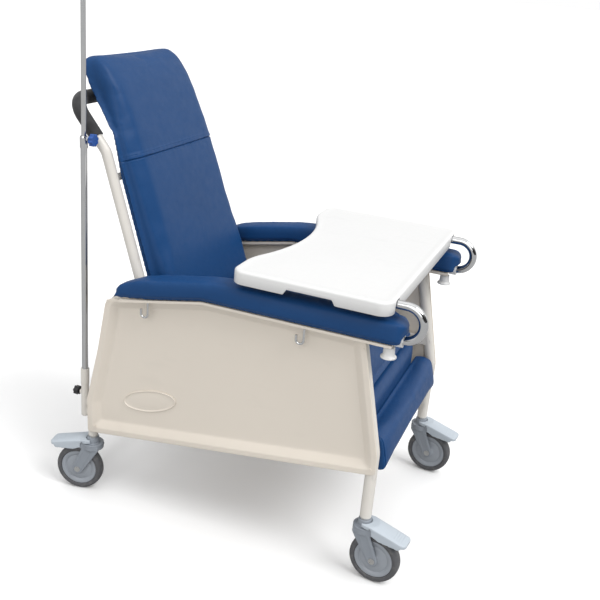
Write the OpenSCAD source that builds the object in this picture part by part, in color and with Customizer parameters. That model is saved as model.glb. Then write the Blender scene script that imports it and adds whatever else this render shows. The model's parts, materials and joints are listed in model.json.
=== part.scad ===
// Wheeled recliner chair with a drop-in infusion pole.
// +Z is up, -Y is the front, +X is the sitter's left. The origin is on the floor,
// midway between the four castors. Side outlines are written as [s, z]:
// s is the distance behind the front castor stems and z is the height.

/* [Base] */
// Distance between the front and rear castor stems
wheelbase = 752; // [700:1:820]
// Distance between the left and right castor stems
track = 550; // [540:1:600]
// Outside diameter of the front leg tubes
leg_d = 28; // [25:1:30]
// Outside diameter of the bent arm tubes
arm_tube_d = 25; // [24:0.5:26]
// Outside diameter of the straight cross tubes
cross_d = 24; // [18:1:24]
// Wall thickness of the frame tubes
tube_wall = 2; // [1.5:0.1:2.4]
// Height of the lower end of the legs
leg_bottom = 165; // [160:1:170]

/* [Castors] */
// Castor wheel diameter
wheel_d = 125; // [120:1:126]
// Width of the tyre
tyre_w = 30; // [26:1:32]
// Horizontal distance from the stem to the wheel axle
trail = 36; // [30:1:40]
// Axle bolt radius
axle_r = 5; // [4:0.5:6]
// Distance from the stem to the tip of the brake pedal
pedal_reach = 112; // [105:1:116]

/* [Arms] */
// Height of the arm tube's centre over the level stretch
arm_z = 624; // [600:1:640]
// Where the arm starts to slope down, behind the front castors
arm_knee = 440; // [400:1:460]
// Drop of the arm tube from the knee to the rear bend
arm_drop = 49; // [20:1:60]
// Width of the arm pads
pad_w = 70; // [60:1:72]

/* [Seat] */
// Height of the seat cushion's top
seat_top = 494; // [480:1:500]
// Half of the seat cushion's width
seat_half_w = 238; // [220:1:240]

/* [Back] */
// Lean of the back from vertical when upright
back_tilt = 18; // [12:0.5:25]
// Half of the back cushion's width
back_half_w = 225; // [200:1:226]
// Distance between the centres of the back frame's two tubes
back_tube_span = 444; // [400:1:444]
// Diameter of the back frame's tubes
back_tube_d = 26; // [22:1:26]
// Diameter of the foam hand grip
grip_d = 34; // [30:1:38]

/* [Tray] */
// Full width of the tray
tray_w = 656; // [600:1:680]
// Front to back size of the tray
tray_len = 372; // [340:1:380]
// Height of the tray's top face
tray_top_z = 720; // [718:1:730]
// Depth of the tray's skirt
tray_skirt = 32; // [24:1:36]
// Diameter of the chrome tray loops
loop_d = 20; // [18:0.5:20]

/* [Infusion pole] */
// Diameter of the lower pole tube
pole_low_d = 16; // [14:0.5:18]
// Diameter of the telescoping upper tube
pole_up_d = 12; // [10:0.5:12]
// Height of the top of the hook head
pole_top = 1490; // [1400:1:1600]
// Distance from the pole's axis to each hook's tip
hook_reach = 97; // [80:1:100]
// Direction of the hook bar, anticlockwise from +Y
hook_turn = 36.5; // [0:0.5:90]

/* [Hidden] */
$fn = 64;

// Colours
cream = [0.86, 0.83, 0.77];
vinyl = [0.16, 0.27, 0.52];
white = [0.95, 0.95, 0.94];
chrome = [0.78, 0.79, 0.80];
castor_grey = [0.66, 0.70, 0.74];
tyre_grey = [0.33, 0.33, 0.35];
black = [0.10, 0.10, 0.10];
plywood = [0.72, 0.58, 0.42];

// Fits
run_gap = 0.05;     // radial clearance of a pin in its hole
slide_gap = 0.08;   // radial clearance of one tube sliding in another
cushion_gap = 0.4;  // clearance around soft parts
bend_lap = 0.8;     // how far a straight runs into a bend
bend_swell = 0.05;  // how much thicker a bend is than its straights

half_track = track / 2;
leg_r = leg_d / 2;
arm_r = arm_tube_d / 2;
loop_r = loop_d / 2;
back_r = back_tube_d / 2;
back_x = back_tube_span / 2;

// Pivots, as [s, z]
back_pivot = [594, 425];
leg_pivot = [64, 398];
pin_r = 5;
stud_r = 4;

// Recline linkage: each crank swings equally to both sides of straight down
back_crank = 55;
back_crank_half = 25;
leg_crank = 36;
leg_crank_half = 40;
function crank_end(pivot, length, angle) =
    pivot + length * [sin(angle), -cos(angle)];
back_stud = crank_end(back_pivot, back_crank, back_crank_half);
leg_stud = crank_end(leg_pivot, leg_crank, leg_crank_half);

// Planes across the chair, as distances from the middle
lug_x = [228, 234];
link_x = [236, 241];
plate_x = [262, 268];
panel_x = 293;
panel_t = 3.7;
recess_depth = 14;

// Side outlines
arm_front = -30;
arm_end = 688;
function arm_at(s) = s < arm_knee ? arm_z
    : arm_z - arm_drop * (s - arm_knee) / (arm_end - arm_knee);
function arm_line(rise, s0, s1) =
    [[s0, arm_z + rise], [arm_knee, arm_z + rise], [s1, arm_at(s1) + rise]];
function reverse(list) = [for (i = [len(list) - 1 : -1 : 0]) list[i]];
function arm_strip(low, high, s0, s1) =
    concat(arm_line(low, s0, s1), reverse(arm_line(high, s0, s1)));
front_leg_line = [[0, leg_bottom], [0, 335], [64, arm_z]];
arm_hoop = [[arm_front, arm_z], [arm_knee, arm_z], [arm_end, arm_at(arm_end)],
    [711, 425], [749, 280], [wheelbase, leg_bottom]];
panel_outline = [[-13, 287], [-13, 333], [47, 611.5], [arm_knee, 611.5], [662, 567.5],
    [703, 571], [727, 425], [759, 275], [757, 180]];
recess_outline = [[15, 317], [80, 600], [452, 600], [676, 556], [727, 212]];
seat_rail_z = 404;
seat_rail_s = [18, 716];
low_rail_line = [[0, 302], [wheelbase, 200]];
low_rail_slope = (low_rail_line[1][1] - low_rail_line[0][1]) / wheelbase;
function low_rail_z(s) = low_rail_line[0][1] + low_rail_slope * s;
front_leg_bore = [[0, leg_bottom - 5], [0, 335], [54, 582]];
hoop_bore = [[arm_front - 5, arm_z], [arm_knee, arm_z], [arm_end, arm_at(arm_end)],
    [711, 425], [749, 280], [wheelbase, leg_bottom - 5]];
socket_pos = [-265, 783];

// ---------- Shape helpers ----------

function unit(v) = v / norm(v);
function with_x(points, x) = [for (p = points) [x, p[0], p[1]]];

// Puts its children, drawn with y measured from the front castor stems, in place
module from_front() {
    translate([0, -wheelbase / 2, 0]) children();
}

module rod(a, b, r) {
    d = b - a;
    translate(a)
        rotate([0, acos(d.z / norm(d)), atan2(d.y, d.x)])
            cylinder(h = norm(d), r = r);
}

function bend_angle(a, b, c) = acos(unit(b - a) * unit(c - b));
function bend_cut(a, b, c, bend_r) = bend_r * tan(bend_angle(a, b, c) / 2);

module elbow(a, b, c, bend_r, r) {
    u = unit(b - a);
    v = unit(c - b);
    n = unit(v - u * (u * v));
    k = cross(-n, u);
    o = b - u * bend_cut(a, b, c, bend_r) + n * bend_r;
    multmatrix([[-n.x, u.x, k.x, o.x], [-n.y, u.y, k.y, o.y], [-n.z, u.z, k.z, o.z]])
        rotate_extrude(angle = bend_angle(a, b, c)) translate([bend_r, 0]) circle(r = r);
}

// A round rod along a list of points, with a bend of radius bend_r at each corner.
// The bends are a hair thicker than the straights, which run a little way into them.
module bent_rod(points, r, bend_r) {
    last = len(points) - 1;
    for (i = [0 : last - 1]) {
        a = points[i];
        b = points[i + 1];
        u = unit(b - a);
        start = i == 0 ? 0 : bend_cut(points[i - 1], a, b, bend_r) - bend_lap;
        stop = i == last - 1 ? 0 : bend_cut(a, b, points[i + 2], bend_r) - bend_lap;
        rod(a + u * start, b - u * stop, r);
        if (i < last - 1) elbow(a, b, points[i + 2], bend_r, r + bend_swell);
    }
}

// Extrudes a side outline across the chair, from x0 to x1
module across(x0, x1) {
    translate([x0, 0, 0]) rotate([90, 0, 90]) linear_extrude(x1 - x0) children();
}

module cross_pin(x0, x1, pos, r) {
    translate([x0, pos[0], pos[1]]) rotate([0, 90, 0]) cylinder(h = x1 - x0, r = r);
}

module round_outline(r) {
    offset(r = r) offset(delta = -r) children();
}

module mirrored(side) {
    if (side > 0) children();
    else mirror([1, 0, 0]) children();
}

// ---------- Frame ----------

module side_frame(side) {
    hoop = with_x(arm_hoop, half_track);
    leg = with_x(front_leg_line, half_track);
    color(cream) from_front() mirrored(side) {
        difference() {
            union() {
                bent_rod(leg, leg_r, 90);
                bent_rod(hoop, arm_r, 60);
                low_rail(cross_d / 2);
                across(plate_x[0] - 0.5, plate_x[1] + 1)
                    translate([seat_rail_s[0], seat_rail_z - cross_d / 2])
                        square([seat_rail_s[1] - seat_rail_s[0], cross_d]);
                pivot_plate(leg_pivot, [16, seat_rail_z]);
                pivot_plate(back_pivot, [back_pivot[0], seat_rail_z]);
            }
            bent_rod(with_x(front_leg_bore, half_track), leg_r - tube_wall, 90);
            bent_rod(with_x(hoop_bore, half_track), loop_r + slide_gap, 60);
            low_rail(cross_d / 2 - 3);
            cross_pin(200, 280, leg_pivot, pin_r + run_gap);
            cross_pin(200, 280, back_pivot, pin_r + run_gap);
            translate([half_track, lock_s, arm_z - 20]) cylinder(h = 15, r = stud_r + 0.4);
        }
    }
}

// Plate welded to the side frame that carries a pivot pin
module pivot_plate(pivot, root) {
    across(plate_x[0], plate_x[1]) hull() {
        translate(pivot) circle(r = 14);
        translate(root) circle(r = 9);
    }
}

module low_rail(r) {
    rod([half_track, low_rail_line[0][0], low_rail_line[0][1]],
        [half_track, low_rail_line[1][0], low_rail_line[1][1]], r);
}

module cross_tubes(rows, end) {
    color(cream) from_front() for (p = rows) difference() {
        cross_pin(-end, end, p, cross_d / 2);
        cross_pin(-end - 1, end + 1, p, cross_d / 2 - tube_wall);
    }
}

module base_cross_tubes() {
    cross_tubes([[150, low_rail_z(150)], [690, low_rail_z(690)]], half_track - cross_d / 2);
}

module seat_cross_tubes() {
    cross_tubes([[130, seat_rail_z], [320, seat_rail_z], [520, seat_rail_z]], plate_x[0] - 0.5);
}

module side_panel(side) {
    skin = 3;
    inset = 14;
    color(cream) from_front() mirrored(side) difference() {
        union() {
            across(panel_x - panel_t, panel_x) round_outline(10) polygon(panel_outline);
            recess_block(panel_x - 1, panel_x - recess_depth - skin, 0, inset);
        }
        recess_block(panel_x + 1, panel_x - recess_depth, skin, inset + skin);
        for (p = screw_spots) cross_pin(panel_x - 20, panel_x + 1, p, 2.1);
    }
}

// Tapered block between two copies of the recess outline, drawn in by in0 and in1
module recess_block(x0, x1, in0, in1) {
    hull() {
        across(x0 - 0.5, x0) recess_area(in0);
        across(x1, x1 + 0.5) recess_area(in1);
    }
}

module recess_area(inset) {
    round_outline(18, $fn = 32) offset(delta = -inset) polygon(recess_outline);
}

screw_spots = [[0, 300], [735, 200], [697, 560], [50, 590]];

module panel_screws() {
    color(cream) from_front() for (side = [-1, 1]) mirrored(side)
        for (p = screw_spots) {
            cross_pin(panel_x - 3.6, panel_x + 0.1, p, 2);
            cross_pin(panel_x + 0.1, panel_x + 1.6, p, 4);
        }
}

rail_front = -13.5;
rail_end = 660;
lock_s = -3;

rail_x = [256, 292];
rail_top = 16;

// Moulded channel over the arm tube, with a flange that the pad sits on
module arm_rail(side) {
    slot_x = [half_track - arm_r - 0.5, half_track + arm_r + 0.7];
    color(cream) from_front() mirrored(side) difference() {
        union() {
            across(rail_x[0], rail_x[1]) polygon(arm_strip(-11.5, rail_top, rail_front, rail_end));
            across(rail_x[0], slot_x[0] + 1) polygon(arm_strip(-18, 0, rail_front, rail_end));
            across(244, 306) polygon(arm_strip(-12, -6, rail_front, rail_end));
        }
        across(slot_x[0], slot_x[1]) polygon(arm_strip(-30, arm_r + 0.8, -60, 720));
        translate([half_track - leg_r - 2, 38, arm_z - 30]) cube([leg_d + 2.8, 54, 31]);
    }
}

module arm_pad(side) {
    profile = [[-27, arm_z - 6], [-42, 635], [-46, 650], [-40, 662], [-22, 669], [380, 669],
        [430, 665], [520, 649], [612, 630], [669, 608], [690, 590], [685, arm_at(685) - 5.7]];
    low = [[arm_knee, arm_z - 5.7]];
    color(vinyl) from_front() mirrored(side) difference() {
        intersection() {
            across(half_track - pad_w / 2, half_track + pad_w / 2)
                polygon(concat(profile, low));
            translate([0, 0, 500]) linear_extrude(250) arm_plan();
        }
        across(rail_x[0] - cushion_gap, rail_x[1] + cushion_gap)
            polygon(arm_strip(-40, rail_top + cushion_gap, -60, 700));
    }
}

// Plan outline of an arm pad: round at the front and narrower at the rear
module arm_plan() {
    r = pad_w / 2;
    hull() {
        translate([half_track, -46 + r]) circle(r = r);
        translate([half_track, 560]) circle(r = r);
        translate([half_track, 669]) circle(r = 22);
    }
}

hook_spots = [582, 186];

module bag_hooks() {
    drop = 40;
    bend = 9;
    color(chrome) from_front() for (side = [-1, 1]) mirrored(side) for (s = hook_spots) {
        top = arm_at(s) - 12.2;
        bent_rod([[301, s, top], [301, s, top - drop], [301, s + 2 * bend, top - drop],
            [301, s + 2 * bend, top - drop + 20]], 3, bend - 0.1);
    }
}

module tray_bushings() {
    color(white) from_front() for (side = [-1, 1]) mirrored(side) difference() {
        rod([half_track, -32, arm_z], [half_track, -14, arm_z], 15.5);
        rod([half_track, arm_front, arm_z], [half_track, -10, arm_z], arm_r + run_gap);
        rod([half_track, -40, arm_z], [half_track, -20, arm_z], loop_r + 0.9);
    }
}

module pivot_pins() {
    color(chrome) from_front() for (side = [-1, 1]) mirrored(side)
        for (p = [leg_pivot, back_pivot]) {
            cross_pin(226.5, 270, p, pin_r);
            cross_pin(270, 272, p, 8);
        }
}

// ---------- Seat ----------

board_t = 12;
board_z = seat_rail_z + cross_d / 2;

module seat_board() {
    color(plywood) from_front()
        translate([-222, 110, board_z]) cube([444, 415, board_t]);
}

module seat_cushion() {
    base = board_z + board_t;
    color(vinyl) from_front() across(-seat_half_w, seat_half_w)
        polygon([[108, base], [108, 424], [50, 424], [44, 432], [48, 448], [64, 473],
            [84, 488], [112, seat_top], [530, seat_top], [530, base]]);
}

// ---------- Legrest ----------

// Lies in the legrest plane; the top end is round about the pivot
pad_r = 22;

module calf_cushion() {
    color(vinyl) from_front() across(-226, 226) union() {
        translate(leg_pivot) circle(r = pad_r);
        translate([leg_pivot[0] - pad_r, 270]) square([2 * pad_r, leg_pivot[1] - 270]);
    }
}

module foot_cushion() {
    color(vinyl) from_front() across(-252, 252)
        polygon([[41.6, 277], [41.6, 360], [30, 366], [8, 366], [-8, 360], [-13, 350],
            [-28, 288], [-26, 279], [-18, 274], [36, 274]]);
}

module legrest_board() {
    color(plywood) from_front() translate([-226, 86.2, 272]) cube([452, 6, 122]);
}

module legrest_frame() {
    rows = [[100.4, 350], [100.4, 292]];
    color(cream) from_front() {
        for (p = rows) cross_pin(-231, 231, p, 8);
        for (side = [-1, 1]) mirrored(side) {
            difference() {
                across(lug_x[0], lug_x[1]) legrest_lug();
                cross_pin(lug_x[0] - 1, lug_x[1] + 1, leg_pivot, pin_r + run_gap);
            }
            link_stud(leg_stud);
        }
    }
}

module legrest_lug() {
    polygon([[54, 391], [86, 355], [93, 346], [93, 284], [108, 284], [108, 358], [74, 406]]);
    translate(leg_pivot) circle(r = 12);
    translate(leg_stud) circle(r = 10);
}

// Stud with a retaining head that carries one end of a recline link
module link_stud(pos) {
    cross_pin(lug_x[1] - 1, link_x[1] + 0.6, pos, stud_r);
    cross_pin(link_x[1] + 0.6, link_x[1] + 2.6, pos, stud_r + 4);
}

// The front end has a slot instead of a hole, because the closed loop needs some slack there
module recline_link(side) {
    slot_r = stud_r + 0.9;
    slot_drop = 4.3;
    color(cream) from_front() mirrored(side) difference() {
        across(link_x[0], link_x[1]) hull() {
            translate(back_stud) circle(r = 11);
            translate(leg_stud) circle(r = 11);
        }
        cross_pin(link_x[0] - 1, link_x[1] + 1, back_stud, stud_r + run_gap);
        for (drop = [0, slot_drop])
            cross_pin(link_x[0] - 1, link_x[1] + 1, leg_stud - [0, drop], slot_r);
        translate([link_x[0] - 1, leg_stud[0] - slot_r, leg_stud[1] - slot_drop])
            cube([link_x[1] - link_x[0] + 2, 2 * slot_r, slot_drop]);
    }
}

// ---------- Back ----------

// Local frame of the back: z runs up the back and -y faces the sitter
module in_back() {
    from_front() translate([0, back_pivot[0], back_pivot[1]]) rotate([-back_tilt, 0, 0]) children();
}

handle_knee = [0, 505];
handle_corner = [54, 638];
back_path = [[back_x, 0, 22], [back_x, handle_knee[0], handle_knee[1]],
    [back_x, handle_corner[0], handle_corner[1]], [-back_x, handle_corner[0], handle_corner[1]],
    [-back_x, handle_knee[0], handle_knee[1]], [-back_x, 0, 22]];
handle_bend = 45;

module back_frame() {
    color(cream) {
        in_back() {
            difference() {
                union() {
                    bent_rod(back_path, back_r, handle_bend);
                    for (up = [110, 440]) rod([-back_x, 0, up], [back_x, 0, up], 9);
                }
                bent_rod(back_path, back_r - tube_wall, handle_bend);
            }
        }
        from_front() for (side = [-1, 1]) mirrored(side) {
            difference() {
                across(lug_x[0], lug_x[1]) back_lug();
                cross_pin(lug_x[0] - 1, lug_x[1] + 1, back_pivot, pin_r + run_gap);
            }
            link_stud(back_stud);
        }
    }
}

// Plate that carries the back's pivot, its crank arm and the foot of the back tube
module back_lug() {
    hull() {
        translate(back_pivot) circle(r = 15);
        translate(back_pivot + 62 * [sin(back_tilt), cos(back_tilt)]) circle(r = 9);
    }
    hull() {
        translate(back_pivot) circle(r = 11);
        translate(back_stud) circle(r = 10);
    }
}

module handle_grip() {
    color(black) in_back() difference() {
        bent_rod(grip_path(0.28), grip_d / 2, handle_bend);
        bent_rod(grip_path(0.2), back_r + bend_swell + run_gap, handle_bend);
    }
}

// Path of the grip; part is where it starts between the knee and the corner
function grip_path(part) = let (start = handle_knee + part * (handle_corner - handle_knee))
    [[back_x, start[0], start[1]], [back_x, handle_corner[0], handle_corner[1]],
        [-back_x, handle_corner[0], handle_corner[1]], [-back_x, start[0], start[1]]];

back_board_y = -back_r - 0.2;

module back_board() {
    color(plywood) in_back()
        translate([-222, back_board_y - 9, 70]) cube([444, 9, 480]);
}

module back_cushion() {
    rear = back_board_y - 9;
    profile = [[rear, 46], [-64, 46], [-71, 58], [-72, 100], [-68, 208], [-62, 312], [-58, 422],
        [-52, 519], [-45, 596], [-36, 650], [-20, 700], [0, 730], [14, 738], [28, 734],
        [33, 722], [34, 700], [26, 661], [8, 610], [-6, 575], [-13.5, 551], [rear, 551]];
    color(vinyl) in_back() intersection() {
        across(-back_half_w, back_half_w) polygon(profile);
        translate([0, 100, 0]) rotate([90, 0, 0]) linear_extrude(200) back_plan();
    }
}

// Front view of the back cushion: parallel sides that draw in at the head
module back_plan() {
    head_half_w = 186;
    round_outline(46) polygon([[-back_half_w, 40], [-back_half_w, 520], [-head_half_w - 14, 640],
        [-head_half_w, 742], [head_half_w, 742], [head_half_w + 14, 640], [back_half_w, 520],
        [back_half_w, 40]]);
}

// ---------- Tray ----------

tray_front = -8;
loop_bend = 40;
loop_top_z = arm_z + 2 * loop_bend;

module tray_outline() {
    w = tray_w / 2;
    difference() {
        round_outline(30) polygon([[-w, tray_front], [w, tray_front], [w - 4, tray_front + tray_len],
            [-w + 4, tray_front + tray_len]]);
        belly_cut();
    }
}

// Shallow scoop in the rear edge, for the sitter's belly
module belly_cut() {
    rear = tray_front + tray_len;
    half_w = 215;
    deep = 52;
    radius = (half_w * half_w + deep * deep) / (2 * deep);
    translate([0, rear - deep + radius]) circle(r = radius, $fn = 160);
}

module tray_top() {
    wall = 4;
    color(white) from_front() difference() {
        translate([0, 0, tray_top_z - tray_skirt]) linear_extrude(tray_skirt) tray_outline();
        translate([0, 0, tray_top_z - tray_skirt - 1]) linear_extrude(tray_skirt - wall + 1)
            offset(delta = -wall) tray_outline();
        for (side = [-1, 1]) {
            translate([side * tray_w / 2, 176, tray_top_z - tray_skirt])
                cube([30, 112, 24], center = true);
            translate([side * half_track, tray_front, loop_top_z - loop_r])
                cube([2 * loop_r + 1, 30, 2 * loop_r + 1.6], center = true);
            rod([side * half_track, tray_front - 9, loop_top_z],
                [side * half_track, tray_front + 9, loop_top_z], loop_r + 0.5);
        }
    }
}

module tray_loop(side) {
    x = half_track;
    path = [[x, 300, loop_top_z], [x, arm_front - loop_bend, loop_top_z],
        [x, arm_front - loop_bend, arm_z], [x, 260, arm_z]];
    color(chrome) from_front() mirrored(side) difference() {
        bent_rod(path, loop_r, loop_bend - 0.02);
        bent_rod(path, loop_r - 1.5, loop_bend - 0.02);
        translate([x, lock_s, arm_z - 20]) {
            translate([-4.5, 0, 0]) cube([9, 150, 19]);
            cylinder(h = 19, r = 4.5);
            translate([0, 150, 0]) cylinder(h = 19, r = 4.5);
        }
    }
}

module tray_clips() {
    width = 20;
    plate = tray_top_z - 4;
    color(white) from_front() for (side = [-1, 1]) mirrored(side) for (s = [60, 250]) {
        difference() {
            translate([half_track - 15, s, loop_top_z - 14])
                cube([30, width, plate - loop_top_z + 14]);
            rod([half_track, s - 1, loop_top_z], [half_track, s + width + 1, loop_top_z],
                loop_r + run_gap);
        }
    }
}

module tray_knob(side) {
    color(white) from_front() mirrored(side) translate([half_track, lock_s, 0]) {
        translate([0, 0, 578]) cylinder(h = 3.5, r = 18);
        translate([0, 0, 581.5]) cylinder(h = 4, r1 = 17, r2 = 13.5);
        translate([0, 0, 585.5]) cylinder(h = 17.5, r1 = 13.5, r2 = 12.5);
        translate([0, 0, 603]) cylinder(h = 7.5, r = 5);
        translate([0, 0, 610.5]) cylinder(h = 7.5, r = stud_r);
    }
}

// ---------- Infusion pole ----------

module at_pole() {
    from_front() translate([socket_pos[0], socket_pos[1], 0]) children();
}

collar_z = [916, 944];
collar_knob_z = 937;
socket_knob_z = 276;
pole_foot = 216;
screw_r = 3;

module iv_socket() {
    r = pole_low_d / 2;
    rear_leg = [-half_track - socket_pos[0], wheelbase - socket_pos[1] - 1.5];
    color(cream) at_pole() difference() {
        union() {
            translate([0, 0, 210]) cylinder(h = 92, r = r + 2);
            translate([0, 0, 302]) cylinder(h = 43, r = r + 2.8);
            for (z = [216, 244]) difference() {
                union() {
                    translate([rear_leg[0], rear_leg[1], z]) cylinder(h = 16, r = arm_r + 4);
                    translate([-6, rear_leg[1] + 12, z]) cube([8, -rear_leg[1] - 12, 16]);
                }
                translate([rear_leg[0] - 40, rear_leg[1] - 30, z - 1]) cube([40, 60, 18]);
            }
            translate([0, 0, socket_knob_z]) rotate([-90, 0, 0]) cylinder(h = r + 5, r = 7);
        }
        translate([0, 0, pole_foot - 0.5]) cylinder(h = 140, r = r + slide_gap);
        translate([0, 0, socket_knob_z]) rotate([-90, 0, 0])
            cylinder(h = 30, r = screw_r + run_gap);
        from_front_of_pole() bent_rod(with_x(arm_hoop, -half_track), arm_r + 0.3, 60);
    }
}

// Undoes at_pole, for shapes that are placed from the front castor stems
module from_front_of_pole() {
    translate([-socket_pos[0], -socket_pos[1], 0]) children();
}

module iv_lower_tube() {
    color(chrome) at_pole() difference() {
        translate([0, 0, pole_foot]) cylinder(h = 930 - pole_foot, r = pole_low_d / 2);
        translate([0, 0, pole_foot + 2]) cylinder(h = 930, r = pole_up_d / 2 + slide_gap);
    }
}

module iv_collar() {
    low_r = pole_low_d / 2;
    color(chrome) at_pole() difference() {
        union() {
            translate([0, 0, collar_z[0]]) cylinder(h = 24, r = low_r + 1.6);
            translate([0, 0, collar_z[0] + 24]) cylinder(h = 4, r1 = low_r + 1.6, r2 = low_r);
            translate([0, 0, collar_knob_z]) rotate([90, 0, 0]) cylinder(h = low_r + 5, r = 5);
        }
        translate([0, 0, collar_z[0] - 1]) cylinder(h = 930 - collar_z[0] + 1, r = low_r + run_gap);
        translate([0, 0, collar_z[0]]) cylinder(h = 40, r = pole_up_d / 2 + slide_gap);
        translate([0, 0, collar_knob_z]) rotate([90, 0, 0]) cylinder(h = 30, r = screw_r + run_gap);
    }
}

// Clamp screw with a lobed head; its axis is +Z and its tip is tip above the pole's axis
module clamp_knob(tip, stem, head_r, head_t, lobes) {
    translate([0, 0, tip]) cylinder(h = stem - tip, r = screw_r);
    translate([0, 0, stem]) {
        cylinder(h = head_t, r = head_r * 0.8);
        for (i = [0 : lobes - 1]) rotate((i + 0.3) * 360 / lobes)
            translate([head_r * 0.72, 0, 0]) cylinder(h = head_t, r = head_r * 0.28);
    }
}

module iv_collar_knob() {
    color("royalblue") at_pole() translate([0, 0, collar_knob_z]) rotate([90, 0, 0])
        clamp_knob(pole_up_d / 2 + 0.1, 20, 15, 11, 8);
}

module iv_socket_knob() {
    color(black) at_pole() translate([0, 0, socket_knob_z]) rotate([-90, 0, 0])
        clamp_knob(pole_low_d / 2 + 0.1, 17, 12, 13, 6);
}

module iv_upper_tube() {
    length = 900;
    color(chrome) at_pole() difference() {
        translate([0, 0, pole_top - 8 - length]) cylinder(h = length, r = pole_up_d / 2);
        translate([0, 0, pole_top - 9 - length]) cylinder(h = length - 12, r = pole_up_d / 2 - 1.2);
    }
}

module iv_hook_head() {
    wire_r = 3;
    bar_z = pole_top - wire_r;
    drop = 34;
    neck = 63;
    color(chrome) at_pole() rotate(hook_turn) difference() {
        union() {
            bent_rod([[0, -hook_reach, bar_z], [0, -hook_reach, bar_z - drop],
                [0, -neck, bar_z - drop], [0, -neck, bar_z], [0, neck, bar_z],
                [0, neck, bar_z - drop], [0, hook_reach, bar_z - drop],
                [0, hook_reach, bar_z]], wire_r, 12);
            translate([0, 0, bar_z - 22]) cylinder(h = 22 + wire_r - 1, r = 8.5);
        }
        translate([0, 0, bar_z - 30]) cylinder(h = pole_top - 8 - bar_z + 30, r = pole_up_d / 2 + run_gap);
    }
}

// ---------- Castors ----------

front_heading = 175;
rear_heading = 10;
fork_out = 22;
fork_in = 17;
head_r = 27;
pedal_pivot = [22, 147];
pedal_pin_r = 2.5;
pedal_ears = [-21.5, 17.5];
pedal_ear_t = 4;

// Local frame of a castor: z is the stem's axis and +y is the way the wheel trails
module at_castor(side, rear) {
    translate([side * half_track, (rear - 0.5) * wheelbase, 0])
        rotate(rear == 1 ? rear_heading : front_heading) children();
}

module castor_stems() {
    color(chrome) for (side = [-1, 1], rear = [0, 1]) at_castor(side, rear) {
        plug_r = rear == 1 ? loop_r - 1.4 : leg_r - tube_wall - 0.1;
        translate([0, 0, 138]) cylinder(h = 24, r = 6);
        // The rear legs end in a slightly tilted face
        nut_top = rear == 1 ? leg_bottom - 0.4 : leg_bottom;
        translate([0, 0, 160.5]) cylinder(h = nut_top - 160.5, r = 13);
        translate([0, 0, nut_top - 0.5]) cylinder(h = 40, r = plug_r);
    }
}

module castor_fork(side, rear) {
    axle = [trail, wheel_d / 2];
    color(castor_grey) at_castor(side, rear) difference() {
        union() {
            translate([0, 0, 127]) cylinder(h = 16, r = head_r);
            translate([0, 0, 143]) cylinder(h = 9, r = 17);
            translate([0, 0, 152]) cylinder(h = 8, r1 = 17, r2 = 15);
            for (x = [-fork_out, fork_in]) across(x, x + fork_out - fork_in) hull() {
                translate(axle) circle(r = 14, $fn = 32);
                translate([6, 122]) circle(r = 19, $fn = 32);
                translate([-10, 131]) circle(r = 12, $fn = 32);
            }
            translate([-fork_out, -14, 128]) cube([2 * fork_out, 46, 13]);
            for (x = pedal_ears) across(x, x + pedal_ear_t) hull() {
                translate(pedal_pivot) circle(r = 4.6);
                translate([pedal_pivot[0], 136]) circle(r = 4.6);
            }
            cross_pin(-24, 24, pedal_pivot, pedal_pin_r);
        }
        cross_pin(-fork_out - 1, fork_out + 1, axle, axle_r + run_gap);
        translate([0, 0, 126.5]) cylinder(h = 40, r = 6 + run_gap);
    }
}

// Brake pedal: a horseshoe beside the swivel head that slopes down to a broad tip,
// with a skirt down each side
module castor_pedal(side, rear) {
    color(castor_grey) at_castor(side, rear) {
        difference() {
            hull() {
                translate([0, 12, 147]) cylinder(h = 8, r = 25, $fn = 32);
                for (x = [-1, 1]) translate([x * 13, pedal_reach - 11, 125])
                    cylinder(h = 8, r = 11, $fn = 32);
            }
            translate([0, 0, 120]) cylinder(h = 50, r = 18);
            translate([-40, -40, 120]) cube([80, 40, 50]);
            translate([-40, -40, 110]) cube([80, 77, 35]);
            for (x = pedal_ears) across(x - 0.8, x + pedal_ear_t + 0.8)
                translate([14, 140]) square([16, 12.4]);
            cross_pin(-30, 30, pedal_pivot, pedal_pin_r + run_gap);
        }
        for (x = [-24.4, 22.6]) across(x, x + 1.8)
            polygon([[26, 147.5], [27, 132], [46, 123], [96, 119], [100, 122], [99, 129.5]]);
    }
}

module castor_wheel(side, rear) {
    rim = wheel_d / 2 - 14;
    half_w = 12;
    color(castor_grey) at_castor(side, rear) translate([0, trail, wheel_d / 2]) rotate([0, 90, 0])
        rotate_extrude() polygon([[axle_r + run_gap, -15], [14, -15], [17, -9], [rim - 6, -9],
            [rim - 3, -half_w], [rim, -half_w], [rim, half_w], [rim - 3, half_w], [rim - 6, 9],
            [17, 9], [14, 15], [axle_r + run_gap, 15]]);
}

module castor_tyre(side, rear) {
    rim = wheel_d / 2 - 14;
    outer = wheel_d / 2;
    half_w = tyre_w / 2;
    color(tyre_grey) at_castor(side, rear) translate([0, trail, outer]) rotate([0, 90, 0])
        rotate_extrude() polygon([[rim, -half_w + 3], [rim + 2, -half_w + 1], [outer - 6, -half_w],
            [outer - 1.5, -half_w + 5], [outer, -half_w + 11], [outer, half_w - 11],
            [outer - 1.5, half_w - 5], [outer - 6, half_w], [rim + 2, half_w - 1],
            [rim, half_w - 3]]);
}

module castor_axle(side, rear) {
    color(chrome) at_castor(side, rear) {
        cross_pin(-fork_out - 1, fork_out + 1, [trail, wheel_d / 2], axle_r);
        for (x = [-fork_out - 1, fork_out]) cross_pin(x, x + 1, [trail, wheel_d / 2], 8);
    }
}

// ---------- Assembly ----------

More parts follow.
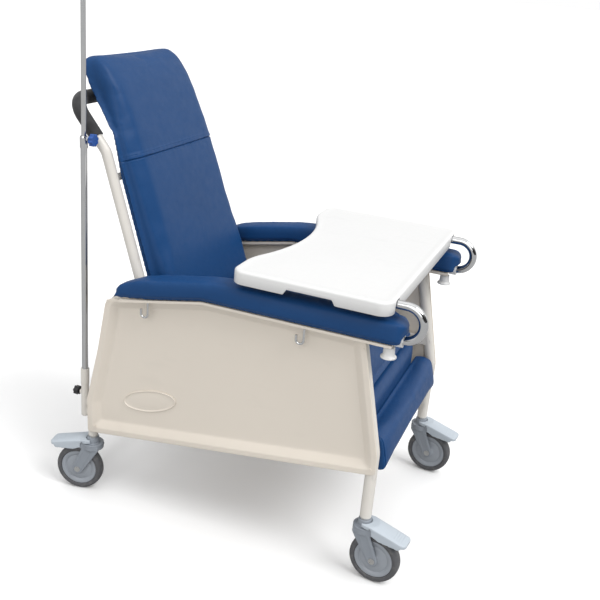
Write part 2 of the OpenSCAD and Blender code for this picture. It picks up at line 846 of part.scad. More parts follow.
side_frame(1);  // side_frame_left
side_frame(-1);  // side_frame_right
base_cross_tubes();
seat_cross_tubes();
side_panel(1);  // side_panel_left
side_panel(-1);  // side_panel_right
arm_rail(1);  // arm_rail_left
arm_rail(-1);  // arm_rail_right
arm_pad(1);  // arm_pad_left
arm_pad(-1);  // arm_pad_right
bag_hooks();
tray_bushings();
seat_board();
seat_cushion();
iv_socket();
pivot_pins();
castor_stems();
panel_screws();
tray_knob(1);  // tray_knob_left
tray_knob(-1);  // tray_knob_right
tray_top();
tray_loop(1);  // tray_loop_left
tray_loop(-1);  // tray_loop_right
tray_clips();
back_frame();
handle_grip();
back_board();
back_cushion();
legrest_frame();
legrest_board();
calf_cushion();
foot_cushion();
recline_link(1);  // recline_link_left
recline_link(-1);  // recline_link_right
iv_lower_tube();
iv_collar();
iv_collar_knob();
iv_socket_knob();
iv_upper_tube();
iv_hook_head();
castor_fork(1, 0);  // front_left_fork
castor_pedal(1, 0);  // front_left_pedal
castor_wheel(1, 0);  // front_left_wheel
castor_tyre(1, 0);  // front_left_tyre
castor_axle(1, 0);  // front_left_axle
castor_fork(-1, 0);  // front_right_fork
castor_pedal(-1, 0);  // front_right_pedal
castor_wheel(-1, 0);  // front_right_wheel
castor_tyre(-1, 0);  // front_right_tyre
castor_axle(-1, 0);  // front_right_axle
castor_fork(1, 1);  // rear_left_fork
castor_pedal(1, 1);  // rear_left_pedal
castor_wheel(1, 1);  // rear_left_wheel
castor_tyre(1, 1);  // rear_left_tyre
castor_axle(1, 1);  // rear_left_axle
castor_fork(-1, 1);  // rear_right_fork
castor_pedal(-1, 1);  // rear_right_pedal
castor_wheel(-1, 1);  // rear_right_wheel
castor_tyre(-1, 1);  // rear_right_tyre
castor_axle(-1, 1);  // rear_right_axle
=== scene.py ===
import json
import math

import bmesh
import bpy
import numpy as np
from mathutils import Matrix, Vector


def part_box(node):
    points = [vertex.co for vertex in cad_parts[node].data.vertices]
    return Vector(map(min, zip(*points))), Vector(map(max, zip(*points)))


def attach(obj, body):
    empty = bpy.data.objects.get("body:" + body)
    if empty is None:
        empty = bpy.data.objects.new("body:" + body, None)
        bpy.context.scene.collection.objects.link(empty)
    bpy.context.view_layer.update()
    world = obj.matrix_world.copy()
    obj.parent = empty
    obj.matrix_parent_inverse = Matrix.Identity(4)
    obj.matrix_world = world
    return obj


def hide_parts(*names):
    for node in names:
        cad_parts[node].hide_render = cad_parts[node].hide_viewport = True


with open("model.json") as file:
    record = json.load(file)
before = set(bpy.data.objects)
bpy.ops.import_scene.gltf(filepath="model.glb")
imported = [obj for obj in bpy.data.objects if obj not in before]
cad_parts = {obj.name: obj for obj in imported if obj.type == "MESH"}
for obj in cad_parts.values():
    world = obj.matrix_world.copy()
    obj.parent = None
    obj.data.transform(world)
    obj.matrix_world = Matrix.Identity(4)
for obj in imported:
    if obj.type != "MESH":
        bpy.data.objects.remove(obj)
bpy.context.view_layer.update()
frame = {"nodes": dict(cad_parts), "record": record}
nodes = frame["nodes"]
MM = 0.001

# The side view is drawn as (s, z) in millimetres, with s measured back from the front castor stems
STEM_NUT_R = 13
FRONT_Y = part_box("castor_stems")[0].y + STEM_NUT_R * MM
TRACK = 550
HALF_TRACK = TRACK / 2
BACK_PIVOT = (594, 425)
BACK_TILT = math.radians(18)


def at(x, s, z):
    """A point in the frame, in metres, from millimetres across, behind the front stems, and up."""
    return Vector((x * MM, FRONT_Y + s * MM, z * MM))


# ---------- Camera, light and floor ----------

CAMERA_PLACE = Vector((-1.961, -0.764, 1.362))
CAMERA_YAW = math.radians(19.6)
CAMERA_PITCH = math.radians(-21.3)
CAMERA_ROLL = math.radians(5.25)
CAMERA_LENS = 51.9


def add_camera():
    """The camera, from where it stands and how far it turns, tips and rolls from level."""
    look = Vector((math.cos(CAMERA_PITCH) * math.cos(CAMERA_YAW),
                   math.cos(CAMERA_PITCH) * math.sin(CAMERA_YAW), math.sin(CAMERA_PITCH)))
    level = look.cross(Vector((0, 0, 1))).normalized()
    upright = level.cross(look)
    right = level * math.cos(CAMERA_ROLL) + upright * math.sin(CAMERA_ROLL)
    up = right.cross(look)
    data = bpy.data.cameras.new("camera")
    data.sensor_width = 36
    data.lens = CAMERA_LENS
    camera = bpy.data.objects.new("camera", data)
    turn = Matrix((right, up, -look)).transposed().to_4x4()
    camera.matrix_world = Matrix.Translation(CAMERA_PLACE) @ turn
    bpy.context.scene.collection.objects.link(camera)
    bpy.context.scene.camera = camera


def add_light(name, toward, strength, softness):
    """A distant soft light that shines from the direction toward."""
    data = bpy.data.lights.new(name, "SUN")
    data.energy = strength
    data.angle = math.radians(softness)
    light = bpy.data.objects.new(name, data)
    light.rotation_mode = "QUATERNION"
    light.rotation_quaternion = (-Vector(toward)).to_track_quat("-Z", "Y")
    bpy.context.scene.collection.objects.link(light)


# How bright the surroundings look to the camera, and how bright they are where nothing is set below
BACKDROP = 1.0
DIM = 0.22
# Lighter and darker areas: direction, cosine of the angle at the rim and where it is full, level
SURROUNDINGS = [
    ((0.0, 0.0, 1.0), 0.25, 0.75, 0.95),
    ((0.9, -0.45, 0.15), 0.72, 0.93, 1.05),
    ((0.9, 0.4, 0.3), 0.85, 0.95, 0.50),
    ((-0.5, 0.85, 0.15), 0.75, 0.93, 0.85),
    ((-0.6, -0.8, 0.1), 0.72, 0.90, 0.03),
    ((0.2, 1.0, 0.0), 0.85, 0.97, 0.05),
    ((0.35, -0.95, 0.1), 0.90, 0.98, 0.04),
]


def add_world():
    """Pale surroundings with soft lighter and darker areas, which polished metal picks up."""
    world = bpy.data.worlds.new("studio")
    world.use_nodes = True
    tree = world.node_tree
    around = tree.nodes.new("ShaderNodeTexCoord").outputs["Generated"]
    level = None
    for direction, edge, inside, value in SURROUNDINGS:
        toward = tree.nodes.new("ShaderNodeVectorMath")
        toward.operation = "DOT_PRODUCT"
        toward.inputs[1].default_value = Vector(direction).normalized()
        tree.links.new(around, toward.inputs[0])
        ramp = tree.nodes.new("ShaderNodeMapRange")
        ramp.interpolation_type = "SMOOTHSTEP"
        ramp.inputs["From Min"].default_value = edge
        ramp.inputs["From Max"].default_value = inside
        tree.links.new(toward.outputs["Value"], ramp.inputs["Value"])
        mix = tree.nodes.new("ShaderNodeMix")
        mix.inputs["A"].default_value = DIM
        mix.inputs["B"].default_value = value
        tree.links.new(ramp.outputs["Result"], mix.inputs["Factor"])
        if level:
            tree.links.new(level, mix.inputs["A"])
        level = mix.outputs["Result"]
    sight = tree.nodes.new("ShaderNodeLightPath")
    seen = tree.nodes.new("ShaderNodeMix")
    seen.inputs["B"].default_value = BACKDROP
    tree.links.new(sight.outputs["Is Camera Ray"], seen.inputs["Factor"])
    tree.links.new(level, seen.inputs["A"])
    tree.links.new(seen.outputs["Result"], tree.nodes["Background"].inputs["Strength"])
    tree.nodes["Background"].inputs["Color"].default_value = (1, 1, 1, 1)
    bpy.context.scene.world = world


def add_studio():
    """Plain soft light, mostly from the front and above."""
    add_world()
    add_light("key", (-0.4, -2.1, 2.5), 1.90, 35)
    add_light("side", (-3.0, -0.5, 1.3), 1.00, 50)
    add_light("fill", (2.4, -1.8, 1.4), 0.15, 60)
    add_light("top", (0.2, 0.4, 3.0), 0.30, 60)
    bpy.context.scene.view_settings.view_transform = "Standard"


def add_floor():
    """A pale floor that throws back less light than it shows, so the sides keep their relief."""
    bpy.ops.mesh.primitive_circle_add(vertices=96, radius=60, fill_type="NGON", location=(0, 0, 0))
    floor = bpy.context.object
    floor.name = "floor"
    surface = Surface("floor_paint", 0.6)
    pale = surface.mix(surface.noise(0.8), (0.945, 0.945, 0.945), (0.96, 0.96, 0.957))
    seen = surface.add("ShaderNodeLightPath").outputs["Is Camera Ray"]
    bounce = (0.38, 0.38, 0.38)
    surface.set("Base Color", surface.mix(seen, bounce, pale))
    floor.data.materials.append(surface.material)


# ---------- Materials ----------

class Surface:
    """A procedural material. Its textures read object coordinates, which are metres."""

    def __init__(self, name, roughness, metallic=0.0, **uniform):
        self.material = bpy.data.materials.new(name)
        self.material.use_nodes = True
        self.tree = self.material.node_tree
        self.shader = self.tree.nodes["Principled BSDF"]
        self.shader.inputs["Roughness"].default_value = roughness
        self.shader.inputs["Metallic"].default_value = metallic
        for socket, value in uniform.items():
            self.shader.inputs[socket.replace("_", " ")].default_value = value
        self.place = self.add("ShaderNodeTexCoord").outputs["Object"]
        self.relief = None

    def add(self, kind, **settings):
        node = self.tree.nodes.new(kind)
        for name, value in settings.items():
            setattr(node, name, value)
        return node

    def link(self, value, socket):
        if isinstance(value, bpy.types.NodeSocket):
            self.tree.links.new(value, socket)
        elif isinstance(value, tuple) and len(value) == 3 and socket.type == "RGBA":
            socket.default_value = (*value, 1)
        else:
            socket.default_value = value

    def stretched(self, stretch):
        mapping = self.add("ShaderNodeMapping")
        self.link(self.place, mapping.inputs["Vector"])
        mapping.inputs["Scale"].default_value = stretch
        return mapping.outputs["Vector"]

    def noise(self, scale, detail=3.0, stretch=(1, 1, 1)):
        node = self.add("ShaderNodeTexNoise")
        self.link(self.stretched(stretch), node.inputs["Vector"])
        node.inputs["Scale"].default_value = scale
        node.inputs["Detail"].default_value = detail
        return node.outputs["Fac"]

    def cells(self, scale, feature="DISTANCE_TO_EDGE", stretch=(1, 1, 1)):
        node = self.add("ShaderNodeTexVoronoi", feature=feature)
        self.link(self.stretched(stretch), node.inputs["Vector"])
        node.inputs["Scale"].default_value = scale
        return node.outputs["Distance"]

    def height(self, low, high):
        """0 below the height low and 1 above the height high, in metres."""
        split = self.add("ShaderNodeSeparateXYZ")
        self.link(self.place, split.inputs["Vector"])
        return self.span(split.outputs["Z"], low, high, 0.0, 1.0)

    def span(self, value, low, high, to_low, to_high):
        """Maps the range low to high onto to_low to to_high, and keeps within it."""
        node = self.add("ShaderNodeMapRange")
        self.link(value, node.inputs["Value"])
        ends = {"From Min": low, "From Max": high, "To Min": to_low, "To Max": to_high}
        for name, number in ends.items():
            node.inputs[name].default_value = number
        return node.outputs["Result"]

    def mix(self, factor, first, second, blend="MIX"):
        node = self.add("ShaderNodeMix", data_type="RGBA", blend_type=blend)
        self.link(factor, node.inputs["Factor"])
        self.link(first, node.inputs["A"])
        self.link(second, node.inputs["B"])
        return next(o for o in node.outputs if o.type == "RGBA")

    def bump(self, value, depth, strength=1.0):
        """Adds relief of that depth, in metres, on top of what is there."""
        node = self.add("ShaderNodeBump")
        node.inputs["Strength"].default_value = strength
        node.inputs["Distance"].default_value = depth
        self.link(value, node.inputs["Height"])
        if self.relief:
            self.link(self.relief, node.inputs["Normal"])
        self.relief = node.outputs["Normal"]
        self.link(self.relief, self.shader.inputs["Normal"])

    def set(self, socket, value):
        self.link(value, self.shader.inputs[socket])


def shade(color, factor):
    return tuple(channel * factor for channel in color)


def make_vinyl():
    """Grained upholstery vinyl: fine cells with painted shade in the creases between them, on slow
    waves.
    """
    blue = (0.008, 0.055, 0.175)
    s = Surface("vinyl_blue", 0.45, Specular_IOR_Level=0.20,
                Coat_Weight=0.03, Coat_Roughness=0.35)
    broad = s.mix(s.noise(5, 2), shade(blue, 0.9), shade(blue, 1.1))
    # The grain's creases are painted darker: painted shade in the valleys of the grain's bump.
    grain_crease_shade = s.mix(s.span(s.cells(620), 0.0, 0.12, 1.0, 0.0), broad, shade(blue, 0.72))
    s.set("Base Color", grain_crease_shade)
    s.set("Roughness", s.span(s.noise(45, 4), 0.3, 0.7, 0.40, 0.52))
    s.bump(s.noise(14, 2), 0.0008, 0.35)
    s.bump(s.cells(620), 0.00022, 0.55)
    s.bump(s.noise(1500, 2), 0.00006, 0.5)
    return s.material


def make_paint(name, color, roughness=0.36):
    """Powder-coated steel: fine orange peel, slight tone changes and a few dull scuffs."""
    s = Surface(name, roughness, Coat_Weight=0.12, Coat_Roughness=0.2)
    tone = s.mix(s.noise(4, 2), shade(color, 0.96), shade(color, 1.02))
    scuff = s.span(s.noise(38, 5, (1, 1, 0.35)), 0.64, 0.72, 0.0, 1.0)
    s.set("Base Color", s.mix(scuff, tone, shade(color, 0.86)))
    s.set("Roughness", s.span(s.noise(60, 4), 0.3, 0.7, roughness - 0.05, roughness + 0.1))
    s.bump(s.noise(520, 2), 0.00008, 0.5)
    return s.material


def make_moulding(name, color, roughness, grain, depth, darker_below=None):
    """Moulded plastic with a fine grain. It is darker and mottled below the two given heights."""
    s = Surface(name, roughness)
    tone = s.mix(s.noise(3.5, 3), shade(color, 0.965), shade(color, 1.02))
    streaks = s.span(s.noise(26, 5, (1, 0.3, 1)), 0.6, 0.74, 0.0, 1.0)
    tone = s.mix(streaks, tone, shade(color, 0.97))
    if darker_below:
        # Darker and mottled towards the bottom, below the two given heights.
        mottle = s.mix(s.noise(22, 5), shade(color, 0.84), shade(color, 0.97))
        tone = s.mix(s.height(*darker_below), mottle, tone)
    s.set("Base Color", tone)
    s.set("Roughness", s.span(s.noise(90, 4), 0.3, 0.7, roughness - 0.06, roughness + 0.08))
    s.bump(s.noise(grain, 2), depth, 0.6)
    return s.material


def make_chrome(name, color, low, high, stretch):
    """Plated tube: roughness varies in faint drawn streaks, with small water marks."""
    s = Surface(name, low, 1.0)
    s.set("Base Color", s.mix(s.noise(30, 4), shade(color, 0.93), color))
    s.set("Roughness", s.span(s.noise(90, 5, stretch), 0.3, 0.72, low, high))
    s.bump(s.noise(700, 2, stretch), 0.00003, 0.4)
    s.bump(s.noise(35, 2), 0.0003, 0.2)
    return s.material


def make_plywood():
    """Birch ply: figure along X, with fine darker fibres."""
    s = Surface("plywood", 0.6)
    figure = s.noise(9, 6, (0.25, 3.0, 3.0))
    grain = s.mix(s.span(figure, 0.35, 0.65, 0.0, 1.0), (0.40, 0.25, 0.12), (0.62, 0.45, 0.26))
    fibre = s.span(s.noise(160, 3, (0.05, 1, 1)), 0.35, 0.65, 0.0, 1.0)
    streaked = s.mix(s.span(fibre, 0.0, 1.0, 0.0, 0.35), grain, (0.30, 0.18, 0.08))
    s.set("Base Color", streaked)
    s.set("Roughness", s.span(figure, 0.3, 0.7, 0.5, 0.7))
    s.bump(s.noise(160, 3, (0.05, 1, 1)), 0.0003, 0.5)
    return s.material


def make_foam():
    """Closed-cell foam of the push handle."""
    s = Surface("foam_black", 0.8, Sheen_Weight=0.2, Sheen_Roughness=0.5)
    s.set("Base Color", s.mix(s.noise(70, 4), (0.014, 0.014, 0.015), (0.034, 0.034, 0.036)))
    s.set("Roughness", s.span(s.noise(50, 3), 0.3, 0.7, 0.7, 0.9))
    s.bump(s.cells(420, "F1"), 0.0006, 0.6)
    s.bump(s.noise(900, 3), 0.0002, 0.5)
    return s.material


def make_tyre():
    """Grey rubber with floor dust."""
    s = Surface("tyre_grey", 0.6)
    rubber = (0.085, 0.086, 0.092)
    mottle = s.span(s.noise(70, 6), 0.52, 0.72, 0.0, 0.6)
    s.set("Base Color", s.mix(mottle, rubber, (0.17, 0.165, 0.16)))
    s.set("Roughness", s.span(s.noise(120, 4), 0.3, 0.7, 0.5, 0.75))
    s.bump(s.noise(620, 3), 0.00012, 0.6)
    return s.material


def make_materials():
    """One material for each of the record's slots, and two darker copies of the castor plastic:
    painted shade for the wheels and forks.
    """
    cream = (0.70, 0.67, 0.62)
    return {
        "vinyl_blue": make_vinyl(),
        "cream_frame": make_paint("cream_frame", cream),
        "cream_plastic": make_moulding("cream_plastic", (0.715, 0.655, 0.575), 0.42, 900, 0.00007,
                                       darker_below=(0.19, 0.27)),
        "white_plastic": make_moulding("white_plastic", (0.725, 0.725, 0.72), 0.34, 1100, 0.00004),
        "chrome": make_chrome("chrome", (0.62, 0.625, 0.63), 0.05, 0.14, (1, 1, 0.12)),
        "steel": make_chrome("steel", (0.58, 0.58, 0.57), 0.24, 0.42, (1, 1, 1)),
        "plywood": make_plywood(),
        "foam_black": make_foam(),
        "knob_blue": make_moulding("knob_blue", (0.02, 0.085, 0.33), 0.3, 700, 0.00006),
        "knob_black": make_moulding("knob_black", (0.018, 0.018, 0.02), 0.4, 700, 0.00008),
        "castor_plastic": make_moulding("castor_plastic", (0.46, 0.51, 0.56), 0.38, 900, 0.00006),
        # Darker copies of castor_plastic for the wheels and forks: painted shade, for sides that
        # face away from the light.
        "castor_wheel": make_moulding("castor_wheel", (0.31, 0.335, 0.37), 0.42, 900, 0.00006),
        "castor_fork": make_moulding("castor_fork", (0.25, 0.275, 0.31), 0.45, 900, 0.00008),
        "tyre_grey": make_tyre(),
    }


# ---------- Mesh helpers ----------

def link_piece(piece, slot, body, finish=None):
    """Gives a piece the material of its record slot or another finish, and its body."""
    piece.data.materials.clear()
    piece.data.materials.append(materials[finish or slot])
    for polygon in piece.data.polygons:
        polygon.use_smooth = True
    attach(piece, body)
    return piece


def new_piece(name, verts, faces):
    mesh = bpy.data.meshes.new(name)
    mesh.from_pydata([tuple(v) for v in verts], [], faces)
    bm = bmesh.new()
    bm.from_mesh(mesh)
    bmesh.ops.recalc_face_normals(bm, faces=bm.faces)
    bm.to_mesh(mesh)
    bm.free()
    piece = bpy.data.objects.new(name, mesh)
    bpy.context.scene.collection.objects.link(piece)
    return piece


def loft(name, rings, wrap=False):
    """Skins closed rings of equal length. Without wrap, both ends are filled."""
    n = len(rings[0])
    verts = [v for ring in rings for v in ring]
    faces = []
    last = len(rings) if wrap else len(rings) - 1
    for i in range(last):
        a, b = i * n, ((i + 1) % len(rings)) * n
        faces += [(a + j, a + (j + 1) % n, b + (j + 1) % n, b + j) for j in range(n)]
    if not wrap:
        faces.append(tuple(range(n)))
        faces.append(tuple(range(len(verts) - n, len(verts))))
    return new_piece(name, verts, faces)


def freeze(piece):
    """Applies the piece's modifiers."""
    depsgraph = bpy.context.evaluated_depsgraph_get()
    mesh = bpy.data.meshes.new_from_object(piece.evaluated_get(depsgraph))
    piece.modifiers.clear()
    piece.data = mesh


def subdivide(piece, levels=1):
    modifier = piece.modifiers.new("finer", "SUBSURF")
    modifier.levels = levels
    modifier.render_levels = levels
    freeze(piece)


def get_points(mesh):
    flat = np.empty(len(mesh.vertices) * 3)
    mesh.vertices.foreach_get("co", flat)
    return flat.reshape(-1, 3)


def set_points(mesh, points):
    mesh.vertices.foreach_set("co", points.ravel())
    mesh.update()


def get_normals(mesh):
    flat = np.empty(len(mesh.vertices) * 3)
    mesh.vertices.foreach_get("normal", flat)
    return flat.reshape(-1, 3)


def ridge(value, centre, width):
    """1 at the centre, falling smoothly to 0 over about twice the width."""
    return np.exp(-(((value - centre) / width) ** 2))


def raise_points(piece, rise):
    """Moves each point along its normal, by its own rise in metres."""
    set_points(piece.data, get_points(piece.data) + get_normals(piece.data) * rise[:, None])


# Smoothing factors, used in turn: a step in and a slightly longer step out
KEEP_VOLUME = (0.5, -0.52)


def averaged(mesh, points, rounds, factors=(0.5,)):
    """Moves each vertex's value towards its neighbours' mean, by each factor in turn."""
    flat = np.empty(len(mesh.edges) * 2, np.int64)
    mesh.edges.foreach_get("vertices", flat)
    a, b = flat.reshape(-1, 2).T
    points = points.copy()
    n = len(points)
    count = np.bincount(np.concatenate((a, b)), minlength=n)[:, None]
    for _ in range(rounds):
        for factor in factors:
            total = [np.bincount(a, points[b, k], n) + np.bincount(b, points[a, k], n)
                     for k in range(3)]
            points += factor * (np.stack(total, 1) / count - points)
    return points


def relax(mesh, rounds, factors=(0.5,)):
    """Smooths the mesh. One factor shrinks it a little, KEEP_VOLUME doesn't."""
    set_points(mesh, averaged(mesh, get_points(mesh), rounds, factors))


def remeshed(name, node, voxel):
    """A new piece with a CAD node's surface, rebuilt in even quads of about the voxel's size."""
    mesh = nodes[node].data.copy()
    bm = bmesh.new()
    bm.from_mesh(mesh)
    bmesh.ops.remove_doubles(bm, verts=bm.verts, dist=1e-6)
    bm.to_mesh(mesh)
    bm.free()
    piece = bpy.data.objects.new(name, mesh)
    bpy.context.scene.collection.objects.link(piece)
    modifier = piece.modifiers.new("voxels", "REMESH")
    modifier.mode = "VOXEL"
    modifier.voxel_size = voxel
    freeze(piece)
    return piece


def moulded(name, node, slot, body, voxel, rounds, finish=None):
    """The CAD node's shape with its hard edges rounded, as a moulded or cast piece has them."""
    piece = remeshed(name, node, voxel)
    relax(piece.data, rounds, KEEP_VOLUME)
    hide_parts(node)
    return link_piece(piece, slot, body, finish)


# ---------- Outlines ----------

def signed_area(points):
    return sum(p[0] * q[1] - q[0] * p[1] for p, q in zip(points, points[1:] + points[:1])) / 2


def inset_outline(points, inset):
    """Moves each side of a polygon inwards."""
    turn = 1 if signed_area(points) > 0 else -1
    lines = []
    for p, q in zip(points, points[1:] + points[:1]):
        d = (Vector(q) - Vector(p)).normalized()
        lines.append((Vector(p) + Vector((-d.y, d.x)) * turn * inset, d))
    corners = []
    for (p, d), (q, e) in zip(lines[-1:] + lines[:-1], lines):
        t = (q - p).cross(e) / d.cross(e) if abs(d.cross(e)) > 1e-9 else 0.0
        corners.append(p + d * t)
    return corners


def round_outline(points, radii, steps=10):
    """Replaces each corner of a polygon by an arc of its own radius."""
    arc = []
    befores, afters = points[-1:] + points[:-1], points[1:] + points[:1]
    for before, corner, after, radius in zip(befores, points, afters, radii):
        u = (Vector(before) - Vector(corner)).normalized()
        v = (Vector(after) - Vector(corner)).normalized()
        half = u.angle(v) / 2
        cut = radius / math.tan(half)
        if math.pi / 2 - half < 0.02:
            arc.append(Vector(corner))
            continue
        centre = Vector(corner) + (u + v).normalized() * (radius / math.sin(half))
        start = Vector(corner) + u * cut - centre
        stop = Vector(corner) + v * cut - centre
        sweep = start.angle_signed(stop)
        for i in range(steps + 1):
            angle = -sweep * i / steps
            arc.append(centre + Matrix.Rotation(angle, 2) @ start)
    return arc


def cast_outline(outline, centre, count):
    """Points where evenly turned rays from the centre meet a star-shaped outline."""
    pts = np.array([tuple(p) for p in outline]) - centre
    if signed_area([tuple(p) for p in pts]) < 0:
        pts = pts[::-1]
    angles = np.unwrap(np.arctan2(pts[:, 1], pts[:, 0]))
    rays = np.arange(count) * 2 * math.pi / count
    rays = angles[0] + (rays - angles[0]) % (2 * math.pi)
    first = np.clip(np.searchsorted(angles, rays, "right") - 1, 0, len(pts) - 1)
    p, q = pts[first], np.roll(pts, -1, 0)[first]
    d = np.stack((np.cos(rays), np.sin(rays)), 1)
    e = q - p
    reach = (p[:, 0] * e[:, 1] - p[:, 1] * e[:, 0]) / (d[:, 0] * e[:, 1] - d[:, 1] * e[:, 0])
    return centre + d * reach[:, None]


# ---------- Cushions ----------

def inflate(piece, pressure, cap):
    """Puffs the closed form up as cloth, and moves no point further than the cap."""
    before = get_points(piece.data)
    cloth = piece.modifiers.new("puff", "CLOTH")
    cloth.settings.quality = 4
    cloth.settings.tension_stiffness = 12
    cloth.settings.compression_stiffness = 12
    cloth.settings.bending_stiffness = 0.8
    cloth.settings.use_pressure = True
    cloth.settings.uniform_pressure_force = pressure
    cloth.settings.effector_weights.gravity = 0
    cloth.point_cache.frame_start = 1
    cloth.point_cache.frame_end = 20
    for step in range(1, 21):
        bpy.context.scene.frame_set(step)
    depsgraph = bpy.context.evaluated_depsgraph_get()
    moved = get_points(piece.evaluated_get(depsgraph).data) - before
    piece.modifiers.clear()
    bpy.context.scene.frame_set(1)
    length = np.linalg.norm(moved, axis=1, keepdims=True)
    return moved * np.minimum(1, cap / np.maximum(length, 1e-9))


# The width over which a cushion's side is held back, and how often the puffing is averaged
SOFT_LIMIT = 0.006
PUFF_ROUNDS = 14


def cushion(node, body, voxel, rounds, cap, backing, half_width,
            shrink=0.003, pressure=4.0):
    """A padded piece from a CAD solid: rounded, puffed up, and flat where it faces its backing.

    half_width is how far it may reach to each side of the middle, or None.
    """
    piece = remeshed(node + "_padded", node, voxel)
    relax(piece.data, rounds)
    points, normals = get_points(piece.data), get_normals(piece.data)
    free = np.clip(1 - (normals @ np.array(backing) - 0.25) / 0.5, 0, 1)[:, None]
    points -= normals * shrink * free
    set_points(piece.data, points)
    points += averaged(piece.data, inflate(piece, pressure, cap), PUFF_ROUNDS) * free
    if half_width:
        spare = (half_width - np.abs(points[:, 0])) / SOFT_LIMIT
        points[:, 0] = np.sign(points[:, 0]) * (half_width - SOFT_LIMIT * np.logaddexp(0, spare))
    set_points(piece.data, points)
    relax(piece.data, 6, KEEP_VOLUME)
    subdivide(piece)
    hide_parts(node)
    link_piece(piece, "vinyl_blue", body)
    return piece


def carve(piece, distance, depth, width, where=1.0):
    """Sinks a seam where distance is 0, with its two lips standing slightly proud."""
    gap = np.abs(distance)
    lips = 0.35 * ridge(gap, 3.2 * width, 1.6 * width)
    raise_points(piece, depth * (lips - ridge(gap, 0, width)) * where)


def seam(piece, place, across, profile, where):
    """Shapes a seam along a plane: profile is (offset from the plane, rise), in millimetres.

    where gives each point's share of the rise.
    """
    across = Vector(across).normalized()
    bm = bmesh.new()
    bm.from_mesh(piece.data)
    for offset, _ in profile:
        bmesh.ops.bisect_plane(bm, geom=bm.verts[:] + bm.edges[:] + bm.faces[:], dist=1e-6,
                               plane_co=place + across * offset * MM, plane_no=across)
    bm.to_mesh(piece.data)
    bm.free()
    points = get_points(piece.data)
    distance = (points - np.array(place)) @ np.array(across) / MM
    rise = np.interp(distance, [o for o, _ in profile], [h for _, h in profile]) * MM
    raise_points(piece, rise * where(points))


# A seam that only pulls in, and one whose upper panel is lapped over and top-stitched
PLAIN_SEAM = [(-6, 0), (-3.6, 0.5), (-1.8, 0.25), (-0.7, -1.5), (0, -2.4), (0.7, -1.5),
              (1.8, 0.25), (3.6, 0.5), (6, 0)]
LAP_SEAM = [(-7, 0), (-2.6, 0.3), (-1.0, -1.2), (0, -3.0), (0.8, -1.4), (2.2, 1.0), (8.2, 0.9),
            (9.2, 0.3), (10.2, 0.7), (16, 0)]


def pucker(piece, distance, along, reach, depth, where=1.0):
    """Small gathers that run out from a seam, at uneven spacing along it."""
    wave = np.sin(along * 310) + 0.6 * np.sin(along * 173 + 1.7) + 0.4 * np.sin(along * 521 + 0.6)
    raise_points(piece, wave * depth * np.exp(-np.abs(distance) / reach) * where)


def back_frame_of(points):
    """How far each point is up the back, and how far behind the back tubes' plane, in metres."""
    pivot = np.array(at(0, *BACK_PIVOT))
    rel = points - pivot
    up = rel[:, 1] * math.sin(BACK_TILT) + rel[:, 2] * math.cos(BACK_TILT)
    rear = rel[:, 1] * math.cos(BACK_TILT) - rel[:, 2] * math.sin(BACK_TILT)
    return up, rear


def smooth_step(value, low, high):
    t = np.clip((value - low) / (high - low), 0, 1)
    return t * t * (3 - 2 * t)


# How far up the back the seam of the head section runs
HEAD_SEAM_UP = 0.473


def make_back_cushion():
    rearward = (0, math.cos(BACK_TILT), -math.sin(BACK_TILT))
    piece = cushion("back_cushion", "back", 0.0065, 20, 0.014, rearward, 0.233, shrink=0.001)
    pivot = at(0, *BACK_PIVOT)
    up_back = Vector((0, math.sin(BACK_TILT), math.cos(BACK_TILT)))

    def front(points):
        return 1 - smooth_step(back_frame_of(points)[1], -0.040, -0.024)

    seam(piece, pivot + up_back * HEAD_SEAM_UP, up_back, LAP_SEAM, front)
    points = get_points(piece.data)
    up, _ = back_frame_of(points)
    pucker(piece, up - HEAD_SEAM_UP, points[:, 0], 0.016, 0.00012, front(points))
    return piece


def make_back_board():
    """The board's upholstered back, with softened edges that keep behind the cushion."""
    piece = moulded("back_board_covered", "back_board", "vinyl_blue", "back", 0.004, 6)
    points = get_points(piece.data)
    up, _ = back_frame_of(points)
    points[:, 0] *= 0.95 - 0.06 * smooth_step(up, 0.42, 0.56)
    set_points(piece.data, points)


def make_seat_cushion():
    lo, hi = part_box("seat_cushion")
    piece = cushion("seat_cushion", "frame", 0.0065, 22, 0.013, (0, 0, -1), 0.243)

    def edge(points):
        side = smooth_step(np.abs(points[:, 0]), hi.x - 0.03, hi.x - 0.015)
        rear = smooth_step(points[:, 1], hi.y - 0.03, hi.y - 0.015)
        return np.maximum(side, rear) * smooth_step(points[:, 1], lo.y + 0.05, lo.y + 0.09)

    def top(points):
        return smooth_step(points[:, 2], hi.z - 0.03, hi.z - 0.01)

    seam(piece, Vector((0, 0, hi.z - 0.030)), (0, 0, 1), PLAIN_SEAM, edge)
    seam(piece, Vector((0, lo.y + 0.085, 0)), (0, 1, 0), LAP_SEAM, top)
    return piece


def make_end_seams(piece, node, inset):
    """A seam round each end of a roll, with gathers that run out from it."""
    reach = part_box(node)[1].x - inset
    for sign in (-1, 1):
        seam(piece, Vector((sign * reach, 0, 0)), (sign, 0, 0), PLAIN_SEAM, lambda points: 1.0)
    points = get_points(piece.data)
    pucker(piece, np.abs(points[:, 0]) - reach, points[:, 1] + points[:, 2], 0.012, 0.00012)


def make_legrest_cushions():
    calf = cushion("calf_cushion", "legrest", 0.0045, 12, 0.005, (0, 1, 0), 0.2272, shrink=0.002)
    make_end_seams(calf, "calf_cushion", 0.010)
    foot = cushion("foot_cushion", "legrest", 0.0045, 12, 0.006, (0, 1, 0), 0.2560, shrink=0.002)
    make_end_seams(foot, "foot_cushion", 0.010)


# The armrest's underside is level up to the bend and then falls towards the rear
ARM_BEND_Y = at(0, 440, 0).y
ARM_UNDERSIDE = 0.618
ARM_FALL, ARM_FALL_RUN = 0.049, 0.248


